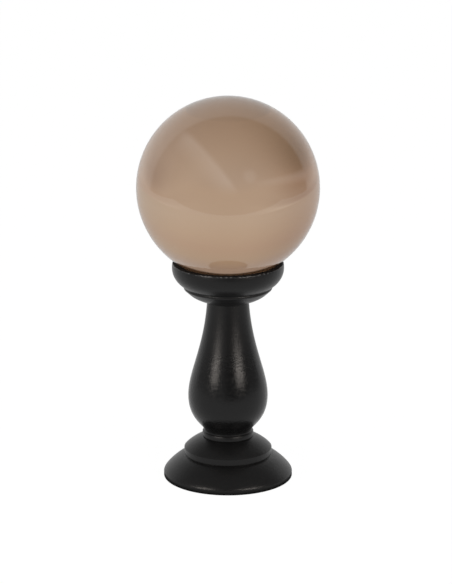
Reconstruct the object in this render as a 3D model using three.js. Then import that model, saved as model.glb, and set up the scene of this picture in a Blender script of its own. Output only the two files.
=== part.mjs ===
import * as THREE from "three";

// A glass ball that rests in the dished cup of a turned wooden stand.
// Millimetres, +Z up. The origin is the centre of the foot's underside.

// The ball, and the play between it and the dish that holds it
const BALL_RADIUS = 40;
const BALL_CENTRE_HEIGHT = 131.7;
const SEAT_GAP = 0.3;

// Heights of the stand's turned features, from the underside up
const FOOT_BAND_HEIGHT = 2.2;
const STEP_HEIGHT = 10.1;
const STEP_BAND_HEIGHT = 13.1;
const COLLAR_HEIGHT = 19.8;
const NECK_HEIGHT = 21.4;
const BELLY_HEIGHT = 36.9;
const STEM_TOP_HEIGHT = 80.6;
const LEDGE_HEIGHT = 87.7;
const WALL_HEIGHT = 97.2;
const RIM_HEIGHT = 98;

// Radii of the same features
const FOOT_RADIUS = 28.6;
const STEP_RADIUS = 19.45;
const COLLAR_RADIUS = 11.3;
const NECK_RADIUS = 10.55;
const BELLY_RADIUS = 17.65;
const STEM_TOP_RADIUS = 9.2;
const LEDGE_RADIUS = 19.5;
const WALL_RADIUS = 24.55;
const RIM_RADIUS = 24.6;

// The turner's small work: eased edges, V-shaped creases, the bead and the ledge's lip
const FOOT_EASE = 0.8;
const RIM_EASE = 0.4;
const CREASE_DEPTH = 0.4;
const BEAD_DEPTH = 1;
const BEAD_HALF_HEIGHT = 1.2;
const BEAD_START = -Math.PI / 3;
const BEAD_END = Math.PI / 2.5;
const LIP_HEIGHT = 0.7;

// How far each sweeping cut is pulled, out and up, from its start and from its end
const LOWER_DOME_PULL = [at(0.45, 1.9), at(2.4, -0.45)];
const UPPER_DOME_PULL = [at(-1.2, 1.75), at(2.7, 0)];
const UNDER_BELLY_PULL = [at(0.55, 2.95), at(-0.25, -10.4)];
const TAPER_PULL = [at(0.15, 11.1), at(1.5, -22.2)];
const LOWER_BOWL_PULL = [at(7.3, 2.35), at(-2.65, -2.35)];
const WALL_PULL = [at(5.15, 3.4), at(0.15, -2.75)];

// How finely the round forms are cut
const SIDES = 48;
const BALL_RINGS = 24;
const LONG_STEPS = 8;
const SHORT_STEPS = 6;
const EDGE_STEPS = 3;

/** A point of the outline: its distance from the axis and its height. */
function at(radius, height) {
  return new THREE.Vector2(radius, height);
}

/** A smooth cut from start to end, pulled away from the straight line at each. */
function sweep(start, end, [startPull, endPull], steps) {
  const startHandle = start.clone().add(startPull);
  const endHandle = end.clone().add(endPull);
  return new THREE.CubicBezierCurve(start, startHandle, endHandle, end).getPoints(steps);
}

/** A corner eased to a soft edge, from start round to end. */
function easedEdge(start, corner, end) {
  return new THREE.QuadraticBezierCurve(start, corner, end).getPoints(EDGE_STEPS);
}

/** The flat underside and the upright band that the foot stands on. */
function footBand() {
  const corner = at(FOOT_RADIUS, 0);
  return [
    at(0, 0),
    ...easedEdge(at(FOOT_RADIUS - FOOT_EASE, 0), corner, at(FOOT_RADIUS, FOOT_EASE)),
  ];
}

/** The low dome from the foot band in to the crease under the step. */
function lowerFootDome() {
  const start = at(FOOT_RADIUS, FOOT_BAND_HEIGHT);
  return sweep(start, at(STEP_RADIUS, STEP_HEIGHT), LOWER_DOME_PULL, LONG_STEPS);
}

/** The crease, and the upright band that carries the upper dome. */
function stepBand() {
  return [
    at(STEP_RADIUS - CREASE_DEPTH, STEP_HEIGHT + CREASE_DEPTH / 2),
    at(STEP_RADIUS, STEP_HEIGHT + CREASE_DEPTH),
  ];
}

/** The steeper dome from the step in to the collar. */
function upperFootDome() {
  const start = at(STEP_RADIUS, STEP_BAND_HEIGHT);
  const end = at(COLLAR_RADIUS - BEAD_DEPTH / 2, COLLAR_HEIGHT - BEAD_HALF_HEIGHT);
  return sweep(start, end, UPPER_DOME_PULL, SHORT_STEPS);
}

/** The half-round bead round the neck. */
function collarBead() {
  const bead = new THREE.EllipseCurve(
    COLLAR_RADIUS - BEAD_DEPTH,
    COLLAR_HEIGHT,
    BEAD_DEPTH,
    BEAD_HALF_HEIGHT,
    BEAD_START,
    BEAD_END,
  );
  return bead.getPoints(SHORT_STEPS);
}

/** The pear: out from the neck to the belly, then a long taper up to the cup. */
function pearStem() {
  const neck = at(NECK_RADIUS, NECK_HEIGHT);
  const belly = at(BELLY_RADIUS, BELLY_HEIGHT);
  const top = at(STEM_TOP_RADIUS, STEM_TOP_HEIGHT);
  return [
    ...sweep(neck, belly, UNDER_BELLY_PULL, LONG_STEPS),
    ...sweep(belly, top, TAPER_PULL, LONG_STEPS),
  ];
}

/** The lower bowl: out from the stem to the upright lip of the ledge. */
function lowerBowl() {
  const lipTop = LEDGE_HEIGHT - CREASE_DEPTH;
  const lipBottom = lipTop - LIP_HEIGHT;
  const start = at(STEM_TOP_RADIUS + CREASE_DEPTH / 2, STEM_TOP_HEIGHT + CREASE_DEPTH);
  return [
    ...sweep(start, at(LEDGE_RADIUS, lipBottom), LOWER_BOWL_PULL, SHORT_STEPS),
    at(LEDGE_RADIUS, lipTop),
  ];
}

/** The crease over the ledge, and the cup's wall swelling up to its rim. */
function cupWall() {
  const start = at(LEDGE_RADIUS - CREASE_DEPTH / 2, LEDGE_HEIGHT + CREASE_DEPTH / 2);
  const rimCorner = at(RIM_RADIUS, RIM_HEIGHT);
  const rimSide = at(RIM_RADIUS, RIM_HEIGHT - RIM_EASE);
  const rimTop = at(RIM_RADIUS - RIM_EASE, RIM_HEIGHT);
  return [
    at(LEDGE_RADIUS - CREASE_DEPTH, LEDGE_HEIGHT),
    ...sweep(start, at(WALL_RADIUS, WALL_HEIGHT), WALL_PULL, LONG_STEPS),
    ...easedEdge(rimSide, rimCorner, rimTop),
  ];
}

/** The dish that follows the ball, from the rim down to the axis. */
function dish() {
  const radius = BALL_RADIUS + SEAT_GAP;
  const rimAngle = -Math.asin((BALL_CENTRE_HEIGHT - RIM_HEIGHT) / radius);
  const bottomAngle = -Math.PI / 2;
  const bowl = new THREE.EllipseCurve(
    0,
    BALL_CENTRE_HEIGHT,
    radius,
    radius,
    rimAngle,
    bottomAngle,
    true,
  );
  const points = bowl.getPoints(SHORT_STEPS);
  points.at(-1).x = 0;
  return points;
}

/** The stand's outline, from the centre of the underside to the bottom of the dish. */
function standOutline() {
  const points = [
    ...footBand(),
    ...lowerFootDome(),
    ...stepBand(),
    ...upperFootDome(),
    ...collarBead(),
    ...pearStem(),
    ...lowerBowl(),
    ...cupWall(),
    ...dish(),
  ];
  return points.filter((point, i) => i === 0 || !point.equals(points[i - 1]));
}

/** The stand, turned in one piece and painted satin black. */
function turnedStand() {
  const geometry = new THREE.LatheGeometry(standOutline(), SIDES);
  geometry.rotateX(Math.PI / 2);
  const paint = new THREE.MeshStandardMaterial({
    color: "#232325",
    roughness: 0.35,
    metalness: 0,
  });
  const stand = new THREE.Mesh(geometry, paint);
  stand.name = "turned_stand";
  return stand;
}

/** The solid ball of smoky brown glass. */
function glassBall() {
  const geometry = new THREE.SphereGeometry(BALL_RADIUS, SIDES, BALL_RINGS);
  geometry.rotateX(Math.PI / 2);
  const glass = new THREE.MeshStandardMaterial({
    color: "#b19b84",
    roughness: 0.03,
    metalness: 0,
    transparent: true,
    opacity: 0.6,
  });
  const ball = new THREE.Mesh(geometry, glass);
  ball.name = "glass_ball";
  ball.position.z = BALL_CENTRE_HEIGHT;
  return ball;
}

const glassBallOnStand = new THREE.Group();
glassBallOnStand.add(turnedStand(), glassBall());

export default glassBallOnStand;
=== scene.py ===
"""Looks of a smoky glass ball that rests in the cup of a turned, black-painted stand.

Metres, +Z up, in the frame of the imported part. The camera looks along +Y and down.
"""

import logging
import math
from collections.abc import Sequence
from dataclasses import dataclass
from enum import Enum

import bpy
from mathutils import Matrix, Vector

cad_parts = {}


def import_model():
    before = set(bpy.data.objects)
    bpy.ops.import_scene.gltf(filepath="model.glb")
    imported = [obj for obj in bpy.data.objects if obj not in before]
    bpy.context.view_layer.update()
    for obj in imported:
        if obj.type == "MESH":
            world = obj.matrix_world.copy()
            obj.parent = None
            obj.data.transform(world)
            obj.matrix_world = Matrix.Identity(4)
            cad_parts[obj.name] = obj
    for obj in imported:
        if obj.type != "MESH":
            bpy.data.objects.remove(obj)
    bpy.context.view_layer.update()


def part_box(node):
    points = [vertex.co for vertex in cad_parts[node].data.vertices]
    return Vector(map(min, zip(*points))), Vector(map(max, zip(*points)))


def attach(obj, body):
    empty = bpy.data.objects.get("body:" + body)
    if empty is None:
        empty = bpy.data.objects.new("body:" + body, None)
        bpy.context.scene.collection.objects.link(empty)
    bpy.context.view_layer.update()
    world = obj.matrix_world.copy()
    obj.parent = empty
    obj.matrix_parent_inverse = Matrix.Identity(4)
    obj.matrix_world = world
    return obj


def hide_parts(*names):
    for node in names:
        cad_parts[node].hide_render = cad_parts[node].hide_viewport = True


log = logging.getLogger("glass_ball_on_stand")

MM = 0.001
MERGE_REACH = 0.002 * MM

# The sockets of a Mix node that mixes colours, whose names it shares with those for numbers
MIX_A = 6
MIX_B = 7
MIX_RESULT = 2

Point = tuple[float, float]
Colour = tuple[float, float, float, float]
Tree = bpy.types.NodeTree
Node = bpy.types.Node
Socket = bpy.types.NodeSocket


def linear(hex_colour: str) -> Colour:
    """Turns an sRGB colour into the linear one that shaders read.

    Args:
        hex_colour: Six hex digits after a hash, such as "#202124".

    Returns:
        Red, green, blue and an alpha of 1.
    """
    channels = [int(hex_colour[i : i + 2], 16) / 255 for i in (1, 3, 5)]
    red, green, blue = (
        c / 12.92 if c <= 0.04045 else ((c + 0.055) / 1.055) ** 2.4 for c in channels
    )
    return red, green, blue, 1.0


def empty_tree(owner: bpy.types.Material | bpy.types.World) -> Tree:
    """Gives a material or a world an empty node tree.

    Args:
        owner: The material or the world.

    Returns:
        Its tree.
    """
    owner.use_nodes = True
    owner.node_tree.nodes.clear()
    return owner.node_tree


def add_node(tree: Tree, kind: str, inputs: dict | None = None, **settings) -> Node:
    """Adds a node, with its settings, values and links.

    Args:
        tree: The node tree that it joins.
        kind: The node's type name.
        inputs: For each input, by name or index, a value or the output that feeds it.
        **settings: The node's own properties.

    Returns:
        The new node.
    """
    node = tree.nodes.new(kind)
    for name, value in settings.items():
        setattr(node, name, value)
    for key, value in (inputs or {}).items():
        if isinstance(value, Socket):
            tree.links.new(value, node.inputs[key])
        else:
            node.inputs[key].default_value = value
    return node


def direction(azimuth: float, elevation: float) -> Vector:
    """A unit vector from the part towards its surroundings.

    Args:
        azimuth: Degrees round from the camera's side, positive to its right.
        elevation: Degrees above the level.

    Returns:
        The unit vector.
    """
    a, e = math.radians(azimuth), math.radians(elevation)
    return Vector((math.sin(a) * math.cos(e), -math.cos(a) * math.cos(e), math.sin(e)))


def start_edit(piece: bpy.types.Object) -> None:
    """Enters edit mode on one piece alone, with all of it selected.

    Args:
        piece: The piece to edit.
    """
    bpy.ops.object.select_all(action="DESELECT")
    piece.select_set(True)
    bpy.context.view_layer.objects.active = piece
    bpy.ops.object.mode_set(mode="EDIT")
    bpy.ops.mesh.select_all(action="SELECT")


def close_and_orient() -> None:
    """Merges doubled vertices, turns the faces outwards and leaves edit mode."""
    bpy.ops.mesh.select_all(action="SELECT")
    bpy.ops.mesh.remove_doubles(threshold=MERGE_REACH)
    bpy.ops.mesh.normals_make_consistent(inside=False)
    bpy.ops.object.mode_set(mode="OBJECT")


@dataclass(frozen=True)
class SmokyGlass:
    """Cast and polished soda-lime glass, tinted smoky brown all through.

    It is clear, so its colour deepens with the length of glass that light crosses.
    """

    ior: float = 1.5
    roughness: float = 0.0
    tint: str = "#cdb18c"
    density: float = 25.0

    def material(self) -> bpy.types.Material:
        """The glass as a material.

        Returns:
            The new material.
        """
        material = bpy.data.materials.new("smoky_glass")
        tree = empty_tree(material)
        glass = add_node(
            tree,
            "ShaderNodeBsdfPrincipled",
            {
                "Base Color": (1.0, 1.0, 1.0, 1.0),
                "Roughness": self.roughness,
                "IOR": self.ior,
                "Transmission Weight": 1.0,
            },
        )
        depth = add_node(
            tree,
            "ShaderNodeVolumeAbsorption",
            {"Color": linear(self.tint), "Density": self.density},
        )
        add_node(
            tree,
            "ShaderNodeOutputMaterial",
            {"Surface": glass.outputs["BSDF"], "Volume": depth.outputs["Volume"]},
        )
        return material


@dataclass(frozen=True)
class SatinPaint:
    """Black paint brushed over turned wood while it spun in the lathe.

    Its satin skin keeps the fine rings of the tool, which break its highlights into short lines,
    and the brush's stipple. It is duller on the foot and up the stem, matt in the seat under the
    ball, and flecked with lighter grey specks along the rim. Real rings and stipple are a few
    tenths of a millimetre across, and both are drawn coarser here so that they show.
    """

    colour: str = "#0d0d0e"
    thin_colour: str = "#151515"
    # Lighter grey of the specks along the rim
    rim_speck_colour: str = "#6e6e70"
    ior: float = 1.33
    roughness: float = 0.13
    line_roughness: float = 0.26
    lines_from: float = 0.4
    lines_to: float = 0.6
    foot_roughness: float = 0.32
    foot_from: float = 26 * MM
    foot_to: float = 21 * MM
    dry_roughness: float = 0.32
    dry_from: float = 46 * MM
    dry_to: float = 66 * MM
    seat_roughness: float = 0.85
    seat_reach: float = 41.55 * MM
    seat_blur: float = 0.3 * MM
    specks_from: float = 0.46
    specks_to: float = 0.62
    ring_spacing: float = 0.85 * MM
    ring_length: float = 1.8 * MM
    ring_depth: float = 0.05 * MM
    stipple_size: float = 0.8 * MM
    stipple_depth: float = 0.06 * MM
    grain_detail: float = 3.0
    grain_roughness: float = 0.6

    def material(self, ball_centre: Vector) -> bpy.types.Material:
        """The paint as a material.

        Args:
            ball_centre: The centre of the ball that the seat fits.

        Returns:
            The new material.
        """
        material = bpy.data.materials.new("satin_black_paint")
        tree = empty_tree(material)
        place = add_node(tree, "ShaderNodeTexCoord").outputs["Object"]
        height = add_node(tree, "ShaderNodeSeparateXYZ", {0: place}).outputs["Z"]
        reach = add_node(
            tree, "ShaderNodeVectorMath", {0: place, 1: tuple(ball_centre)}, operation="DISTANCE"
        ).outputs["Value"]
        grain = {"Detail": self.grain_detail, "Roughness": self.grain_roughness}
        along = 1 / self.ring_length
        drawn_out = add_node(
            tree,
            "ShaderNodeMapping",
            {"Vector": place, "Scale": (along, along, 1 / self.ring_spacing)},
        ).outputs["Vector"]
        rings = add_node(
            tree, "ShaderNodeTexNoise", {"Vector": drawn_out, "Scale": 1.0, **grain}
        ).outputs["Fac"]
        stipple = add_node(
            tree, "ShaderNodeTexNoise", {"Vector": place, "Scale": 1 / self.stipple_size, **grain}
        ).outputs["Fac"]
        paint = add_node(
            tree,
            "ShaderNodeBsdfPrincipled",
            {
                "Base Color": self.paint_colour(tree, rings, stipple, reach),
                "Roughness": self.gloss(tree, rings, height, reach),
                "IOR": self.ior,
                "Normal": self.relief(tree, rings, stipple),
            },
        )
        add_node(tree, "ShaderNodeOutputMaterial", {"Surface": paint.outputs["BSDF"]})
        return material

    def relief(self, tree: Tree, rings: Socket, stipple: Socket) -> Socket:
        """Raises the rings, and the stipple over them.

        Args:
            tree: The node tree.
            rings: The pattern of the rings.
            stipple: The pattern of the stipple.

        Returns:
            The surface normal.
        """
        ringed = add_node(
            tree,
            "ShaderNodeBump",
            {"Height": rings, "Distance": self.ring_depth, "Strength": 1.0},
        )
        stippled = add_node(
            tree,
            "ShaderNodeBump",
            {
                "Height": stipple,
                "Distance": self.stipple_depth,
                "Strength": 1.0,
                "Normal": ringed.outputs["Normal"],
            },
        )
        return stippled.outputs["Normal"]

    def paint_colour(self, tree: Tree, rings: Socket, stipple: Socket, reach: Socket) -> Socket:
        """Colours the paint, thinner on the rings and lighter grey in specks along the rim.

        Args:
            tree: The node tree.
            rings: The pattern of the rings.
            stipple: The pattern of the stipple.
            reach: The distance from the ball's centre.

        Returns:
            The colour.
        """
        colour = add_node(
            tree,
            "ShaderNodeMix",
            {"Factor": rings, MIX_A: linear(self.colour), MIX_B: linear(self.thin_colour)},
            data_type="RGBA",
        )
        rim = add_node(
            tree,
            "ShaderNodeMapRange",
            {
                "Value": reach,
                "From Min": self.seat_reach + 2 * self.seat_blur,
                "From Max": self.seat_reach,
            },
        )
        # Lighter grey specks along the rim's outer edge
        specks = add_node(
            tree,
            "ShaderNodeMapRange",
            {"Value": stipple, "From Min": self.specks_from, "From Max": self.specks_to},
        )
        specked = add_node(
            tree,
            "ShaderNodeMath",
            {0: rim.outputs[0], 1: specks.outputs[0]},
            operation="MULTIPLY",
        )
        in_seat = add_node(
            tree,
            "ShaderNodeMapRange",
            {
                "Value": reach,
                "From Min": self.seat_reach,
                "From Max": self.seat_reach - self.seat_blur,
            },
        )
        on_rim = add_node(
            tree,
            "ShaderNodeMath",
            {0: specked.outputs[0], 1: in_seat.outputs[0]},
            operation="SUBTRACT",
            use_clamp=True,
        )
        return add_node(
            tree,
            "ShaderNodeMix",
            {
                "Factor": on_rim.outputs[0],
                MIX_A: colour.outputs[MIX_RESULT],
                MIX_B: linear(self.rim_speck_colour),
            },
            data_type="RGBA",
        ).outputs[MIX_RESULT]

    def gloss(self, tree: Tree, rings: Socket, height: Socket, reach: Socket) -> Socket:
        """Breaks the gloss into lines and dulls it on the foot, up the stem and in the seat.

        Args:
            tree: The node tree.
            rings: The pattern of the rings.
            height: The height above the table.
            reach: The distance from the ball's centre.

        Returns:
            The roughness.
        """
        lines = add_node(
            tree,
            "ShaderNodeMapRange",
            {
                "Value": rings,
                "From Min": self.lines_from,
                "From Max": self.lines_to,
                "To Min": self.roughness,
                "To Max": self.line_roughness,
            },
        )
        above_foot = add_node(
            tree,
            "ShaderNodeMapRange",
            {
                "Value": height,
                "From Min": self.foot_to,
                "From Max": self.foot_from,
                "To Min": self.foot_roughness,
                "To Max": lines.outputs[0],
            },
            interpolation_type="SMOOTHSTEP",
        )
        up_stem = add_node(
            tree,
            "ShaderNodeMapRange",
            {
                "Value": height,
                "From Min": self.dry_from,
                "From Max": self.dry_to,
                "To Min": above_foot.outputs[0],
                "To Max": self.dry_roughness,
            },
            interpolation_type="SMOOTHSTEP",
        )
        return add_node(
            tree,
            "ShaderNodeMapRange",
            {
                "Value": reach,
                "From Min": self.seat_reach,
                "From Max": self.seat_reach - self.seat_blur,
                "To Min": up_stem.outputs[0],
                "To Max": self.seat_roughness,
            },
        ).outputs[0]


@dataclass
class GlassBall:
    """The solid ball, where the frame says that it rests. Metres."""

    centre: Vector
    radius: float
    cuts: int = 95

    def build(self) -> bpy.types.Object:
        """Makes the ball from a finely cut cube drawn out to a sphere.

        Returns:
            The ball.
        """
        bpy.ops.object.select_all(action="DESELECT")
        bpy.ops.mesh.primitive_cube_add(size=2 * self.radius, location=self.centre)
        ball = bpy.context.active_object
        ball.name = ball.data.name = "ball"
        bpy.ops.object.transform_apply(location=True, rotation=True, scale=True)
        start_edit(ball)
        bpy.ops.mesh.subdivide(number_cuts=self.cuts)
        bpy.ops.object.mode_set(mode="OBJECT")
        for vertex in ball.data.vertices:
            out = (vertex.co - self.centre).normalized()
            vertex.co = self.centre + self.radius * out
        bpy.ops.object.shade_smooth()
        return ball

    def dress(self, ball: bpy.types.Object, glass: SmokyGlass) -> None:
        """Gives the ball its glass."""
        ball.data.materials.append(glass.material())


@dataclass(frozen=True)
class Cut:
    """A smooth cut: how far it is pulled, out and up, at its start and at its end."""

    start_pull: Point
    end_pull: Point
    steps: int


@dataclass(frozen=True)
class StandCuts:
    """The stand's smooth cuts, from the foot up. Millimetres."""

    foot_shoulder: Cut = Cut((0.0, 0.13), (0.03, -0.1), 4)
    lower_dome: Cut = Cut((-0.3, 1.45), (2.85, -0.55), 24)
    step_crease: Cut = Cut((0.15, 0.25), (0.0, -0.4), 5)
    upper_dome: Cut = Cut((-1.3, 1.7), (2.5, -0.5), 18)
    collar_crease: Cut = Cut((0.25, 0.05), (0.0, -0.3), 5)
    collar_to_neck: Cut = Cut((-0.45, 0.12), (0.0, -0.2), 5)
    under_belly: Cut = Cut((0.55, 2.95), (-0.25, -10.4), 30)
    taper: Cut = Cut((0.15, 11.1), (1.5, -22.2), 60)
    lower_bowl: Cut = Cut((7.4, 2.6), (-2.65, -2.35), 16)
    ledge_lip: Cut = Cut((0.15, 0.13), (0.0, -0.2), 4)
    notch: Cut = Cut((-0.06, 0.12), (-0.12, -0.12), 4)
    wall: Cut = Cut((4.2, 2.7), (-0.08, -2.3), 24)
    wall_to_rim: Cut = Cut((0.0, 0.7), (0.14, -0.6), 6)
    rim_corner: Cut = Cut((0.0, 0.08), (0.08, 0.0), 3)


@dataclass
class Outline:
    """Half of a turning's outline, followed from its underside up. Millimetres."""

    points: list[Point]

    def to(self, radius: float, height: float) -> None:
        """Goes straight to a point."""
        self.points.append((radius, height))

    def sweep(self, radius: float, height: float, cut: Cut) -> None:
        """Goes to a point in one smooth cut.

        Args:
            radius: The point's distance from the axis.
            height: The point's height.
            cut: How the cut is pulled, and in how many steps.
        """
        p0, p3 = Vector(self.points[-1]), Vector((radius, height))
        p1, p2 = p0 + Vector(cut.start_pull), p3 + Vector(cut.end_pull)
        for i in range(1, cut.steps + 1):
            t = i / cut.steps
            u = 1 - t
            p = u**3 * p0 + 3 * u * u * t * p1 + 3 * u * t * t * p2 + t**3 * p3
            self.to(p.x, p.y)


@dataclass
class TurnedStand:
    """The stand, turned in one piece.

    The ball's centre is in metres, and all other sizes are in millimetres. The step, the collar
    and the like are places on the outline, as a radius and a height. A crease, lip, notch or
    shoulder that is a pair is an offset, out and up, from the corner that it shapes.
    """

    foot_radius: float
    rim_height: float
    ball_centre: Vector
    ball_radius: float
    foot_ease: float = 0.35
    foot_ease_pull: float = 0.6
    foot_ease_steps: int = 5
    foot_band_top: float = 2.1
    foot_shoulder: Point = (-0.06, 0.25)
    step: Point = (19.45, 10.1)
    step_crease: Point = (-0.16, 0.1)
    step_swell: float = 1.1
    step_band_top: float = 13.3
    step_ease: float = 0.1
    collar: Point = (11.3, 18.55)
    collar_crease: float = 0.25
    collar_swell: float = 0.6
    collar_top: float = 21.05
    collar_ease: float = 0.3
    collar_shoulder: float = 0.12
    neck: Point = (10.55, 21.4)
    belly: Point = (17.65, 36.9)
    stem_top: Point = (9.2, 80.6)
    ledge: Point = (19.5, 87.1)
    ledge_lip: Point = (-0.15, -0.6)
    notch_bottom: Point = (-0.06, 0.3)
    notch_top: Point = (0.02, 0.6)
    wall_top: Point = (24.6, 95.8)
    rim_radius: float = 24.65
    rim_shoulder: Point = (-0.22, -0.15)
    rim_ease: float = 0.38
    seat_gap: float = 0.05
    seat_steps: int = 24
    around: int = 192
    sharpest_smooth: float = 35
    cuts: StandCuts = StandCuts()

    def foot(self, outline: Outline) -> None:
        """Goes out over the flat underside, up the band and in over the low dome.

        Args:
            outline: The outline that it continues.
        """
        edge, ease = self.foot_radius, self.foot_ease
        pull = self.foot_ease_pull * ease
        outline.to(edge - ease, 0.0)
        outline.sweep(edge, ease, Cut((pull, 0.0), (0.0, -pull), self.foot_ease_steps))
        outline.to(edge, self.foot_band_top)
        inwards, up = self.foot_shoulder
        outline.sweep(edge + inwards, self.foot_band_top + up, self.cuts.foot_shoulder)
        outline.sweep(*self.step, self.cuts.lower_dome)

    def step_band(self, outline: Outline) -> None:
        """Turns the crease, the upright band and the steeper dome up to the collar.

        Args:
            outline: The outline that it continues.
        """
        radius, height = self.step
        inwards, up = self.step_crease
        outline.to(radius + inwards, height + up)
        outline.sweep(radius, height + self.step_swell, self.cuts.step_crease)
        outline.to(radius, self.step_band_top - self.step_ease)
        outline.to(radius - self.step_ease, self.step_band_top)
        collar_radius, collar_bottom = self.collar
        outline.sweep(collar_radius - self.collar_crease, collar_bottom, self.cuts.upper_dome)

    def collar_band(self, outline: Outline) -> None:
        """Turns the upright band round the neck.

        Args:
            outline: The outline that it continues.
        """
        radius, height = self.collar
        shoulder = self.collar_shoulder
        outline.sweep(radius, height + self.collar_swell, self.cuts.collar_crease)
        outline.to(radius, self.collar_top - self.collar_ease)
        outline.to(radius - shoulder, self.collar_top - shoulder)
        outline.sweep(*self.neck, self.cuts.collar_to_neck)

    def pear(self, outline: Outline) -> None:
        """Swells out to the belly and tapers up to the cup."""
        outline.sweep(*self.belly, self.cuts.under_belly)
        outline.sweep(*self.stem_top, self.cuts.taper)

    def cup(self, outline: Outline) -> None:
        """Spreads out in the lower bowl, its thin ledge and the wall up to the rim.

        Args:
            outline: The outline that it continues.
        """
        radius, height = self.ledge
        inwards, down = self.ledge_lip
        outline.sweep(radius + inwards, height + down, self.cuts.lower_bowl)
        outline.sweep(radius, height, self.cuts.ledge_lip)
        inwards, up = self.notch_bottom
        outline.to(radius + inwards, height + up)
        outwards, up = self.notch_top
        outline.sweep(radius + outwards, height + up, self.cuts.notch)
        outline.sweep(*self.wall_top, self.cuts.wall)
        inwards, down = self.rim_shoulder
        outline.sweep(self.rim_radius + inwards, self.rim_height + down, self.cuts.wall_to_rim)
        outline.sweep(self.rim_radius - self.rim_ease, self.rim_height, self.cuts.rim_corner)

    def dish(self, outline: Outline) -> None:
        """Follows the ball from the rim down to the axis.

        Args:
            outline: The outline that it ends.
        """
        radius, centre = self.ball_radius + self.seat_gap, self.ball_centre.z / MM
        start = -math.asin((centre - self.rim_height) / radius)
        for i in range(self.seat_steps):
            angle = start + (-math.pi / 2 - start) * i / self.seat_steps
            outline.to(radius * math.cos(angle), centre + radius * math.sin(angle))
        outline.to(0.0, centre - radius)

    def build(self) -> bpy.types.Object:
        """Draws the outline edge by edge, from one vertex on the axis, and spins it round.

        Returns:
            The stand.
        """
        outline = Outline([(0.0, 0.0)])
        for cut in (self.foot, self.step_band, self.collar_band, self.pear, self.cup, self.dish):
            cut(outline)
        bpy.ops.object.select_all(action="DESELECT")
        bpy.ops.mesh.primitive_plane_add(size=MM)
        stand = bpy.context.active_object
        stand.name = stand.data.name = "stand"
        start_edit(stand)
        bpy.ops.mesh.merge(type="CENTER")
        here = Vector((0.0, 0.0, 0.0))
        for radius, height in outline.points[1:]:
            there = Vector((radius, 0.0, height)) * MM
            bpy.ops.mesh.extrude_region_move(TRANSFORM_OT_translate={"value": there - here})
            here = there
        bpy.ops.mesh.select_all(action="SELECT")
        bpy.ops.mesh.spin(
            steps=self.around, angle=math.tau, center=(0.0, 0.0, 0.0), axis=(0.0, 0.0, 1.0)
        )
        close_and_orient()
        bpy.ops.object.shade_smooth_by_angle(angle=math.radians(self.sharpest_smooth))
        return stand

    def dress(self, stand: bpy.types.Object, paint: SatinPaint) -> None:
        """Gives the stand its paint."""
        stand.data.materials.append(paint.material(self.ball_centre))


class Ray(Enum):
    """The kinds of ray that the studio answers differently, as Light Path names them.

    Only the ball mirrors sharply and only the ball lets rays through, so those two kinds are what
    it shows. Rays of no kind named here are those that the paint mirrors.
    """

    CAMERA = "Is Camera Ray"
    DIFFUSE = "Is Diffuse Ray"
    SHARP = "Is Singular Ray"
    TRANSMISSION = "Is Transmission Ray"


class Blend(Enum):
    """How a part of the room is laid over what lies behind it."""

    OVER = "MIX"
    ADDED = "ADD"
    SHADE = "MULTIPLY"


@dataclass(frozen=True)
class Edge:
    """A soft-edged cone of directions that a part of the room keeps within.

    Its axis has an azimuth and an elevation. Its angle runs from the axis to the middle of the
    soft edge, and its softness is that edge's width, all in degrees.
    """

    azimuth: float
    elevation: float
    angle: float
    softness: float


@dataclass(frozen=True)
class RoomPanel:
    """A lit or shaded part of the room, which keeps within all of its edges."""

    strength: float
    edges: tuple[Edge, ...]
    blend: Blend = Blend.OVER
    colour: str = "#ffffff"


@dataclass(frozen=True)
class TintedShadow:
    """A soft oval shadow painted on the table, tinted like light that crossed the glass to reach it.

    Its middle, and its length and width from the middle out, are in metres. Its heading is in
    degrees, and its core is the share of it that is fully dark.
    """

    x: float
    y: float
    heading: float
    length: float
    width: float
    colour: str
    core: float = 0.0


@dataclass(frozen=True)
class Strip:
    """A soft strip lamp in front: its azimuth in degrees, width in metres and power in watts."""

    azimuth: float
    width: float
    power: float


STRIPS = [Strip(-45, 0.38, 3.6), Strip(39.8, 0.44, 3.9)]

# What the paint mirrors: a lit wall on the left, a dimmer one on the right, the back and the ceiling
ROOM_IN_PAINT = [
    RoomPanel(0.45, (Edge(-83.5, -37.7, 90, 3), Edge(-95, 0, 85, 20))),
    RoomPanel(0.28, (Edge(100, 0, 40, 20),)),
    RoomPanel(0.85, (Edge(-178, 0, 67.5, 2),)),
    RoomPanel(0.3, (Edge(0, 90, 50, 36),)),
]

# What the ball mirrors and what is seen through it. Each panel and shade was chosen one by one,
# and most of its values are the rounded result of a fit to the shading inside the ball.
LEFT_EDGE = Edge(-72.3, -32.9, 90, 8)
ROOM_IN_GLASS = [
    RoomPanel(0.15, (LEFT_EDGE, Edge(-130, 0, 53.4, 12))),
    RoomPanel(
        1.24,
        (LEFT_EDGE, Edge(107.7, 32.9, 103.8, 28), Edge(-18.3, 60, 50.7, 24)),
        Blend.ADDED,
    ),
    RoomPanel(
        0.68,
        (Edge(29.1, -77.0, 95.8, 5.4), Edge(-150.9, 77.0, 90.6, 7.3), Edge(94.7, 9, 44.1, 38)),
        Blend.ADDED,
    ),
    RoomPanel(0.61, (Edge(29.9, 25.6, 5.8, 10),), Blend.ADDED),
    RoomPanel(0.54, (Edge(-178, 0, 66.3, 7),)),
    RoomPanel(0.34, (Edge(-178, 0, 52.7, 55),), Blend.ADDED),
]
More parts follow.
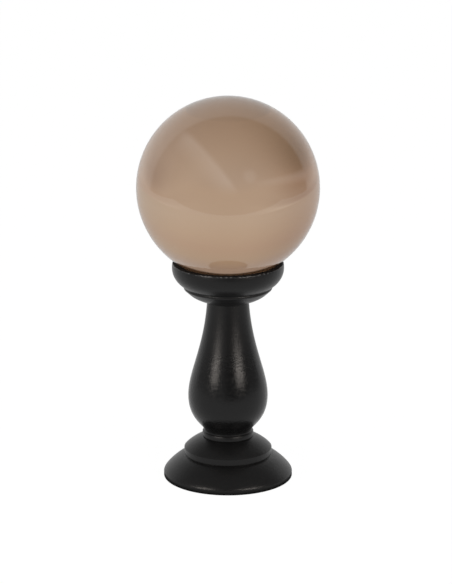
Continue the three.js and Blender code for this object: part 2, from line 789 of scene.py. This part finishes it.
# Painted shadows on the table's glow, which only rays through the ball see
SHADOWS_THROUGH_BALL = [
    TintedShadow(-0.04, -0.04, 14, 0.60, 0.30, "#c0b2a4"),
    TintedShadow(-0.29, 0.30, 16, 0.60, 0.27, "#dccfc6"),
    TintedShadow(0.23, 0.25, -36, 0.63, 0.23, "#dbd6d5"),
    TintedShadow(-0.78, 0.65, 12, 1.50, 0.76, "#c8b7ad"),
    TintedShadow(0.79, 0.45, -13, 1.41, 0.81, "#e7ddd7"),
    TintedShadow(-0.17, 0.19, 27, 0.28, 0.16, "#d5d3cd"),
    TintedShadow(-0.01, 0.44, -84, 0.20, 0.26, "#f7f9fd"),
]
BACKDROP = [
    (0, "#fffdf9"),
    (8, "#f8f1e8"),
    (17, "#ecdfd3"),
    (26, "#e3d7c7"),
    (36, "#d3c7be"),
    (45, "#dad2cf"),
    (48, "#3a2f26"),
    (90, "#100d0b"),
]
BACKDROP_SHADES = [
    RoomPanel(1.0, (Edge(-100, 4, 38, 76),), Blend.SHADE, "#d6cbc5"),
    RoomPanel(1.0, (Edge(100, -20, 34, 69),), Blend.SHADE, "#e7e3de"),
]

# The painted contact shadow: a dark ring on the table under the foot, which the paint and the ball
# mirror
CONTACT_SHADOW = TintedShadow(0.0, 0.0, 0, 0.034, 0.034, "#3c3c3c", core=0.87)


@dataclass
class Studio:
    """Camera, white table, soft strip lamps and the room round them. Metres and degrees."""

    view_elevation: float = 15.7
    view_distance: float = 1.2084
    aim_height: float = 84.6 * MM
    aside: float = -0.88 * MM
    focal_length: float = 169.5
    sensor: float = 36.0
    near_clip: float = 10 * MM
    table_front: float = -0.375
    table_back: float = 4.0
    table_half_width: float = 1.04
    table_mirrored: float = 0.77
    table_through_glass: str = "#fffdfb"
    table_matt: str = "#e8e8e8"
    table_matt_share: float = 0.04
    white: float = 1.02
    fill: float = 0.8
    dark_in_paint: float = 0.1
    dark_in_glass: float = 0.0
    strip_height: float = 0.27
    strip_distance: float = 1.0
    strip_elevation: float = 19.6
    strip_aim_height: float = 50 * MM
    strip_colour: str = "#fff6ee"

    def add_camera(self) -> None:
        """Stands the camera in front and above, aimed at its subject's middle."""
        data = bpy.data.cameras.new("camera")
        data.lens = self.focal_length
        data.sensor_width = self.sensor
        data.clip_start = self.near_clip
        camera = bpy.data.objects.new("camera", data)
        bpy.context.scene.collection.objects.link(camera)
        aim = Vector((self.aside, 0.0, self.aim_height))
        away = direction(0.0, self.view_elevation)
        camera.location = aim + self.view_distance * away
        camera.rotation_euler = (-away).to_track_quat("-Z", "Y").to_euler()
        bpy.context.scene.camera = camera

    def add_floor(self) -> bpy.types.Object:
        """Lays the white table top, whose front edge the ball mirrors.

        Returns:
            The table top.
        """
        middle = (self.table_front + self.table_back) / 2
        bpy.ops.object.select_all(action="DESELECT")
        bpy.ops.mesh.primitive_plane_add(size=1.0, location=(0.0, middle, 0.0))
        floor = bpy.context.active_object
        floor.name = floor.data.name = "table_top"
        floor.scale = (2 * self.table_half_width, self.table_back - self.table_front, 1.0)
        bpy.ops.object.transform_apply(location=True, rotation=True, scale=True)
        floor.data.materials.append(self.table_material())
        return floor

    def table_material(self) -> bpy.types.Material:
        """The table's matt white board: evenly white to the eye, and dimmer in mirrors.

        Through the ball it shows soft tinted painted shadows, and mirrors show a painted contact
        shadow, a dark ring under the foot.

        Returns:
            The new material.
        """
        material = bpy.data.materials.new("white_table")
        tree = empty_tree(material)
        place = add_node(tree, "ShaderNodeTexCoord").outputs["Object"]
        # Painted shadows seen through the ball, and the painted contact shadow that mirrors show
        through = linear(self.table_through_glass)
        for shadow in SHADOWS_THROUGH_BALL:
            through = self.add_shadow(tree, place, through, shadow)
        sheen = self.add_shadow(tree, place, linear("#ffffff"), CONTACT_SHADOW)
        glow = add_node(tree, "ShaderNodeEmission", {"Color": through, "Strength": 1.0})
        mirrored = add_node(
            tree, "ShaderNodeEmission", {"Color": sheen, "Strength": self.table_mirrored}
        )
        white = add_node(tree, "ShaderNodeEmission", {"Strength": self.white})
        matt = add_node(tree, "ShaderNodeBsdfDiffuse", {"Color": linear(self.table_matt)})
        seen = add_node(
            tree,
            "ShaderNodeMixShader",
            {0: self.table_matt_share, 1: white.outputs[0], 2: matt.outputs[0]},
        )
        answers = ((Ray.TRANSMISSION, glow), (Ray.CAMERA, seen))
        shader = self.answer_rays(tree, mirrored, answers)
        add_node(tree, "ShaderNodeOutputMaterial", {"Surface": shader.outputs[0]})
        return material

    def answer_rays(self, tree: Tree, others: Node, answers: Sequence[tuple[Ray, Node]]) -> Node:
        """Gives each kind of ray an answer of its own.

        Args:
            tree: The node tree.
            others: The answer to all other rays.
            answers: Pairs of a kind of ray and the node that answers it, the last one on top.

        Returns:
            The node that holds all the answers.
        """
        path = add_node(tree, "ShaderNodeLightPath")
        shader = others
        for ray, answer in answers:
            shader = add_node(
                tree,
                "ShaderNodeMixShader",
                {0: path.outputs[ray.value], 1: shader.outputs[0], 2: answer.outputs[0]},
            )
        return shader

    def add_shadow(
        self, tree: Tree, place: Socket, light: Socket | Colour, shadow: TintedShadow
    ) -> Socket:
        """Lays one soft shade over the table's light.

        Args:
            tree: The node tree.
            place: The place on the table.
            light: The light before.
            shadow: The shade.

        Returns:
            The light after.
        """
        oval = add_node(
            tree,
            "ShaderNodeMapping",
            {
                "Vector": place,
                "Location": (shadow.x, shadow.y, 0.0),
                "Rotation": (0.0, 0.0, math.radians(shadow.heading)),
                "Scale": (shadow.width, shadow.length, 1.0),
            },
            vector_type="TEXTURE",
        )
        outwards = add_node(
            tree, "ShaderNodeVectorMath", {0: oval.outputs["Vector"]}, operation="LENGTH"
        )
        share = add_node(
            tree,
            "ShaderNodeMapRange",
            {"Value": outwards.outputs["Value"], "From Min": 1.0, "From Max": shadow.core},
            interpolation_type="SMOOTHSTEP",
        )
        return add_node(
            tree,
            "ShaderNodeMix",
            {"Factor": share.outputs[0], MIX_A: light, MIX_B: linear(shadow.colour)},
            data_type="RGBA",
            blend_type="MULTIPLY",
        ).outputs[MIX_RESULT]

    def add_strip(self, strip: Strip, lights_on: bpy.types.Collection) -> None:
        """Stands a soft strip lamp in front, for one of the long highlights down the stem.

        Args:
            strip: The lamp.
            lights_on: What it lights.
        """
        data = bpy.data.lights.new("strip_lamp", "AREA")
        data.shape = "RECTANGLE"
        data.size, data.size_y = strip.width, self.strip_height
        data.energy = strip.power
        data.color = linear(self.strip_colour)[:3]
        lamp = bpy.data.objects.new(data.name, data)
        bpy.context.scene.collection.objects.link(lamp)
        away = direction(strip.azimuth, self.strip_elevation)
        aim = Vector((0.0, 0.0, self.strip_aim_height))
        lamp.location = aim + self.strip_distance * away
        lamp.rotation_euler = away.to_track_quat("Z", "Y").to_euler()
        lamp.visible_camera = False
        lamp.visible_transmission = False
        lamp.light_linking.receiver_collection = lights_on

    def add_room(self) -> None:
        """Surrounds the part: white to the camera, and a dark room with lit panels in mirrors."""
        world = bpy.data.worlds.new("room")
        bpy.context.scene.world = world
        tree = empty_tree(world)
        away = add_node(tree, "ShaderNodeTexCoord").outputs["Generated"]
        dark = self.dark_in_paint
        in_paint = self.add_panels(tree, away, (dark, dark, dark, 1.0), ROOM_IN_PAINT)
        dark = self.dark_in_glass
        in_glass = self.add_panels(tree, away, (dark, dark, dark, 1.0), ROOM_IN_GLASS)
        behind = self.add_panels(tree, away, self.backdrop(tree, away), BACKDROP_SHADES)
        glossy = add_node(tree, "ShaderNodeBackground", {"Color": in_paint})
        answers = (
            (Ray.SHARP, add_node(tree, "ShaderNodeBackground", {"Color": in_glass})),
            (Ray.TRANSMISSION, add_node(tree, "ShaderNodeBackground", {"Color": behind})),
            (Ray.DIFFUSE, add_node(tree, "ShaderNodeBackground", {"Strength": self.fill})),
            (Ray.CAMERA, add_node(tree, "ShaderNodeBackground", {"Strength": self.white})),
        )
        shader = self.answer_rays(tree, glossy, answers)
        add_node(tree, "ShaderNodeOutputWorld", {"Surface": shader.outputs[0]})

    def backdrop(self, tree: Tree, away: Socket) -> Socket:
        """Shades the backdrop from the level, at the ramp's start, to straight up, at its end.

        Args:
            tree: The node tree.
            away: The direction away from the part.

        Returns:
            The backdrop's colour.
        """
        up = add_node(tree, "ShaderNodeSeparateXYZ", {0: away}).outputs["Z"]
        ramp = add_node(tree, "ShaderNodeValToRGB", {"Fac": up})
        stops = ramp.color_ramp.elements
        stops[0].color = linear(BACKDROP[0][1])
        stops[-1].color = linear(BACKDROP[-1][1])
        for elevation, colour in BACKDROP[1:-1]:
            stops.new(math.sin(math.radians(elevation))).color = linear(colour)
        return ramp.outputs["Color"]

    def add_panels(
        self, tree: Tree, away: Socket, under: Socket | Colour, panels: list[RoomPanel]
    ) -> Socket:
        """Lays panels over what the room shows already, the last one on top.

        Args:
            tree: The node tree.
            away: The direction away from the part.
            under: What the room shows already.
            panels: The panels.

        Returns:
            What the room shows then.
        """
        for panel in panels:
            red, green, blue, _ = linear(panel.colour)
            lit = (red * panel.strength, green * panel.strength, blue * panel.strength, 1.0)
            under = add_node(
                tree,
                "ShaderNodeMix",
                {"Factor": self.within(tree, away, panel), MIX_A: under, MIX_B: lit},
                data_type="RGBA",
                blend_type=panel.blend.value,
            ).outputs[MIX_RESULT]
        return under

    def within(self, tree: Tree, away: Socket, panel: RoomPanel) -> Socket:
        """Tells how far a direction is within all the edges of a panel.

        Args:
            tree: The node tree.
            away: The direction away from the part.
            panel: The panel.

        Returns:
            1 inside the edges, 0 outside them and less than 1 on a soft edge.
        """
        share = None
        for edge in panel.edges:
            axis = direction(edge.azimuth, edge.elevation)
            cosine = add_node(
                tree, "ShaderNodeVectorMath", {0: away, 1: tuple(axis)}, operation="DOT_PRODUCT"
            ).outputs["Value"]
            outer = math.radians(min(180.0, edge.angle + edge.softness / 2))
            inner = math.radians(max(0.0, edge.angle - edge.softness / 2))
            inside = add_node(
                tree,
                "ShaderNodeMapRange",
                {"Value": cosine, "From Min": math.cos(outer), "From Max": math.cos(inner)},
                interpolation_type="SMOOTHSTEP",
            ).outputs[0]
            if share is None:
                share = inside
            else:
                share = add_node(
                    tree, "ShaderNodeMath", {0: share, 1: inside}, operation="MULTIPLY"
                ).outputs[0]
        return share


def main() -> None:
    """Builds the studio and the two pieces, dresses them and reports each."""
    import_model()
    ball_low, ball_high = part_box("glass_ball")
    _, stand_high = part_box("turned_stand")
    centre = (ball_low + ball_high) / 2
    radius = (ball_high.z - ball_low.z) / 2
    bpy.context.scene.view_settings.view_transform = "Standard"
    studio = Studio()
    studio.add_camera()
    floor = studio.add_floor()
    studio.add_room()

    builder = GlassBall(centre=centre, radius=radius)
    ball = builder.build()
    builder.dress(ball, SmokyGlass())
    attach(ball, "root")
    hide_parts("glass_ball")
    log.info("%s: %d faces", ball.name, len(ball.data.polygons))

    turner = TurnedStand(
        foot_radius=stand_high.x / MM,
        rim_height=stand_high.z / MM,
        ball_centre=centre,
        ball_radius=radius / MM,
    )
    stand = turner.build()
    turner.dress(stand, SatinPaint())
    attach(stand, "root")
    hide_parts("turned_stand")
    log.info("%s: %d faces", stand.name, len(stand.data.polygons))

    lit = bpy.data.collections.new("lit_by_strips")
    for piece in (stand, floor):
        lit.objects.link(piece)
    for strip in STRIPS:
        studio.add_strip(strip, lit)


if __name__ == "__main__":
    logging.basicConfig(level=logging.INFO, format="%(name)s: %(message)s")
    main()
